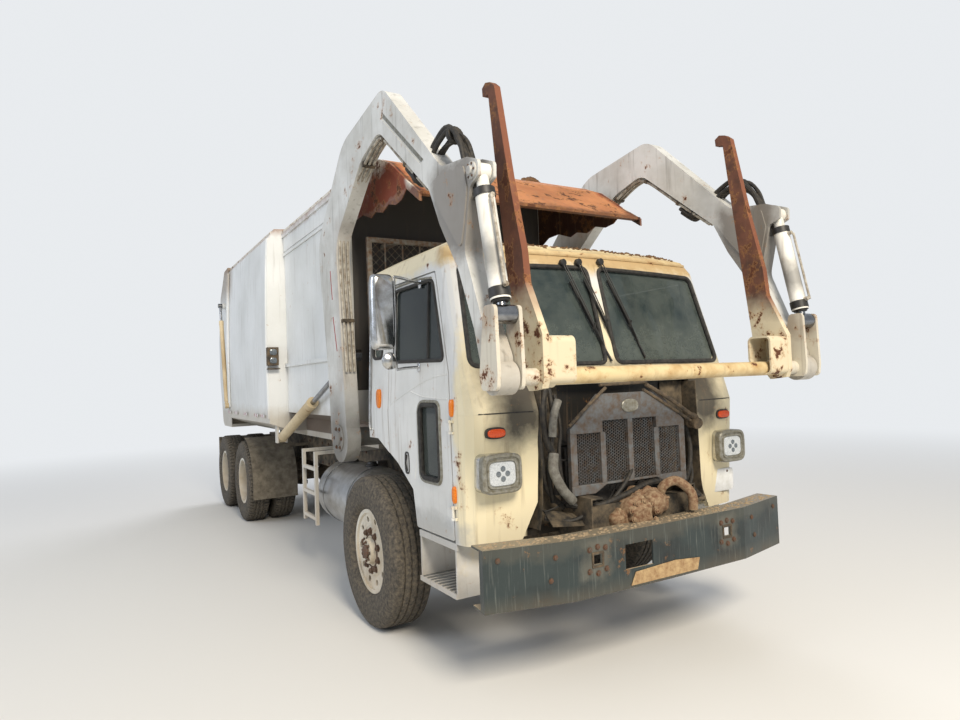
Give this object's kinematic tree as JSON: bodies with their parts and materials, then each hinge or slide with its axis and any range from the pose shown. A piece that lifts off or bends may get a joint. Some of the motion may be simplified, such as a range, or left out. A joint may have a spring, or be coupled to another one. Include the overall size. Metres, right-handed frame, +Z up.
{
  "type": "front-loading refuse truck",
  "caption": "Cab-over refuse truck with lift arms that straddle the cab, raised forks, an open hopper, a load body and a tailgate.",
  "frame": {"origin": "centre of the truck's bounding box, on the ground", "axes": "+X to the left side of the truck, +Y to its rear, +Z up; the cab faces -Y"},
  "size_m": [2.85, 8.602, 3.6944],
  "materials": {
    "cab_paint": "chalky cream enamel, yellowed and dirty",
    "body_paint": "dull white enamel over sheet steel, streaked",
    "canopy_rust": "sheet steel with orange-brown rust",
    "arm_paint": "off-white enamel on plate, scuffed and rust-specked",
    "fork_steel": "worn cream paint on rusted plate",
    "frame_paint": "black chassis enamel under road dirt",
    "bumper_paint": "dark blue-black enamel, dusty",
    "barrel_paint": "tan enamel on a drawn tube",
    "rod_chrome": "hard chrome, slightly oiled",
    "wheel_paint": "off-white wheel enamel, dusty",
    "tyre_rubber": "road tyre with sandy dust",
    "cab_glass": "laminated glass, tinted",
    "axle_iron": "cast housings with road dirt",
    "engine_iron": "plain block that stands in for the engine",
    "radiator_core": "finned core, dull",
    "tank_aluminium": "bare spun aluminium",
    "grille_metal": "grey cast grille",
    "lamp_metal": "bright bezel with glass lamps",
    "seat_fabric": "dark seat cloth",
    "dash_plastic": "moulded dash",
    "mirror_plastic": "grey mirror case on a bright tube",
    "flap_rubber": "reinforced rubber sheet",
    "mesh_steel": "galvanised guard, dull"
  },
  "bodies": {
    "chassis": {"frame_rails": "frame_paint", "crossmembers": "frame_paint", "cylinder_lugs": "body_paint", "front_axle": "axle_iron", "tandem_axles": "axle_iron", "suspension": "frame_paint", "engine": "engine_iron", "radiator": "radiator_core", "cab_shell": "cab_paint", "cab_panels": "cab_paint", "cab_floor": "cab_paint", "cab_glass": "cab_glass", "grille": "grille_metal", "bumper": "bumper_paint", "lamps": "lamp_metal", "cab_steps": "cab_paint", "fuel_tank": "tank_aluminium", "hydraulic_tank": "body_paint", "seats": "seat_fabric", "dash": "dash_plastic", "steering_wheel": "dash_plastic", "hopper": "body_paint", "body_shell": "body_paint", "subframe": "frame_paint", "canopy": "canopy_rust", "mesh_screen": "mesh_steel", "packer_blade": "fork_steel", "ladder": "body_paint", "fenders": "flap_rubber"},
    "arms": {"lift_arms": "arm_paint", "torque_tube": "arm_paint"},
    "forks": {"fork_shaft": "arm_paint", "forks": "fork_steel"},
    "lift_barrels": {"lift_barrels": "barrel_paint"},
    "lift_rods": {"lift_rods": "rod_chrome"},
    "fork_barrels": {"fork_barrels": "cab_paint"},
    "fork_rods": {"fork_rods": "rod_chrome"},
    "gate_barrels": {"gate_barrels": "barrel_paint"},
    "gate_rods": {"gate_rods": "rod_chrome"},
    "tailgate": {"tailgate": "body_paint"},
    "door_left": {"door_left": "cab_paint", "door_glass_left": "cab_glass", "mirror_left": "mirror_plastic"},
    "knuckle_left": {"knuckle_left": "axle_iron"},
    "front_wheel_left": {"front_rim_left": "wheel_paint", "front_tyre_left": "tyre_rubber"},
    "axle2_wheels_left": {"axle2_rim_left": "wheel_paint", "axle2_tyres_left": "tyre_rubber"},
    "axle3_wheels_left": {"axle3_rim_left": "wheel_paint", "axle3_tyres_left": "tyre_rubber"},
    "door_right": {"door_right": "cab_paint", "door_glass_right": "cab_glass", "mirror_right": "mirror_plastic"},
    "knuckle_right": {"knuckle_right": "axle_iron"},
    "front_wheel_right": {"front_rim_right": "wheel_paint", "front_tyre_right": "tyre_rubber"},
    "axle2_wheels_right": {"axle2_rim_right": "wheel_paint", "axle2_tyres_right": "tyre_rubber"},
    "axle3_wheels_right": {"axle3_rim_right": "wheel_paint", "axle3_tyres_right": "tyre_rubber"}
  },
  "joints": [
    {"name": "arm_lift", "type": "hinge", "parent": "chassis", "child": "arms", "pos_m": [0, -1.849, 1.33], "axis": [-1, 0, 0], "range_deg": [-25, 80]},
    {"name": "fork_tilt", "type": "hinge", "parent": "arms", "child": "forks", "pos_m": [0, -4.206, 1.754], "axis": [1, 0, 0], "range_deg": [0, 110]},
    {"name": "tailgate_swing", "type": "hinge", "parent": "chassis", "child": "tailgate", "pos_m": [0, 3.291, 3.65], "axis": [1, 0, 0], "range_deg": [0, 85]},
    {"name": "lift_barrel_swing", "type": "hinge", "parent": "chassis", "child": "lift_barrels", "pos_m": [0, 0.751, 1.17], "axis": [1, 0, 0], "range_deg": [-2.18, 6.73]},
    {"name": "lift_rod_slide", "type": "slide", "parent": "lift_barrels", "child": "lift_rods", "axis": [0, -0.9502, 0.3117], "range_m": [-0.7305, 0.2303]},
    {"name": "fork_barrel_swing", "type": "hinge", "parent": "arms", "child": "fork_barrels", "pos_m": [0, -4.087, 2.814], "axis": [1, 0, 0], "range_deg": [-11.65, 0.11]},
    {"name": "fork_rod_slide", "type": "slide", "parent": "fork_barrels", "child": "fork_rods", "axis": [0, -0.2014, -0.9795], "range_m": [-0.003, 0.4697]},
    {"name": "gate_barrel_swing", "type": "hinge", "parent": "chassis", "child": "gate_barrels", "pos_m": [0, 3.131, 1.52], "axis": [1, 0, 0], "range_deg": [-10.22, 0.11]},
    {"name": "gate_rod_slide", "type": "slide", "parent": "gate_barrels", "child": "gate_rods", "axis": [0, 0.2301, 0.9732], "range_m": [-0.003, 0.8461]},
    {"name": "door_left_swing", "type": "hinge", "parent": "chassis", "child": "door_left", "pos_m": [1.13553, -3.535, 1.5], "axis": [0, 0, -1], "range_deg": [0, 70]},
    {"name": "door_right_swing", "type": "hinge", "parent": "chassis", "child": "door_right", "pos_m": [-1.13553, -3.535, 1.5], "axis": [0, 0, 1], "range_deg": [0, 70]},
    {"name": "steer_left", "type": "hinge", "parent": "chassis", "child": "knuckle_left", "pos_m": [0.875, -2.349, 0.538], "axis": [0, 0, 1], "range_deg": [-35, 35]},
    {"name": "front_wheel_left_spin", "type": "hinge", "parent": "knuckle_left", "child": "front_wheel_left", "pos_m": [1.095, -2.349, 0.538], "axis": [1, 0, 0], "continuous": true},
    {"name": "axle2_wheels_left_spin", "type": "hinge", "parent": "chassis", "child": "axle2_wheels_left", "pos_m": [0.93, 2.341, 0.527], "axis": [1, 0, 0], "continuous": true},
    {"name": "axle3_wheels_left_spin", "type": "hinge", "parent": "chassis", "child": "axle3_wheels_left", "pos_m": [0.93, 3.691, 0.527], "axis": [1, 0, 0], "continuous": true},
    {"name": "steer_right", "type": "hinge", "parent": "chassis", "child": "knuckle_right", "pos_m": [-0.875, -2.349, 0.538], "axis": [0, 0, 1], "range_deg": [-35, 35]},
    {"name": "front_wheel_right_spin", "type": "hinge", "parent": "knuckle_right", "child": "front_wheel_right", "pos_m": [-1.095, -2.349, 0.538], "axis": [1, 0, 0], "continuous": true},
    {"name": "axle2_wheels_right_spin", "type": "hinge", "parent": "chassis", "child": "axle2_wheels_right", "pos_m": [-0.93, 2.341, 0.527], "axis": [1, 0, 0], "continuous": true},
    {"name": "axle3_wheels_right_spin", "type": "hinge", "parent": "chassis", "child": "axle3_wheels_right", "pos_m": [-0.93, 3.691, 0.527], "axis": [1, 0, 0], "continuous": true}
  ],
  "couplings": [
    {"joint": "lift_barrel_swing", "follows": "arm_lift", "ratio": 0.0827},
    {"joint": "lift_rod_slide", "follows": "arm_lift", "m_per_rad": -0.521},
    {"joint": "fork_barrel_swing", "follows": "fork_tilt", "ratio": -0.1049},
    {"joint": "fork_rod_slide", "follows": "fork_tilt", "m_per_rad": 0.2431},
    {"joint": "gate_barrel_swing", "follows": "tailgate_swing", "ratio": -0.1189},
    {"joint": "gate_rod_slide", "follows": "tailgate_swing", "m_per_rad": 0.5683},
    {"joint": "steer_right", "follows": "steer_left", "ratio": 1}
  ]
}
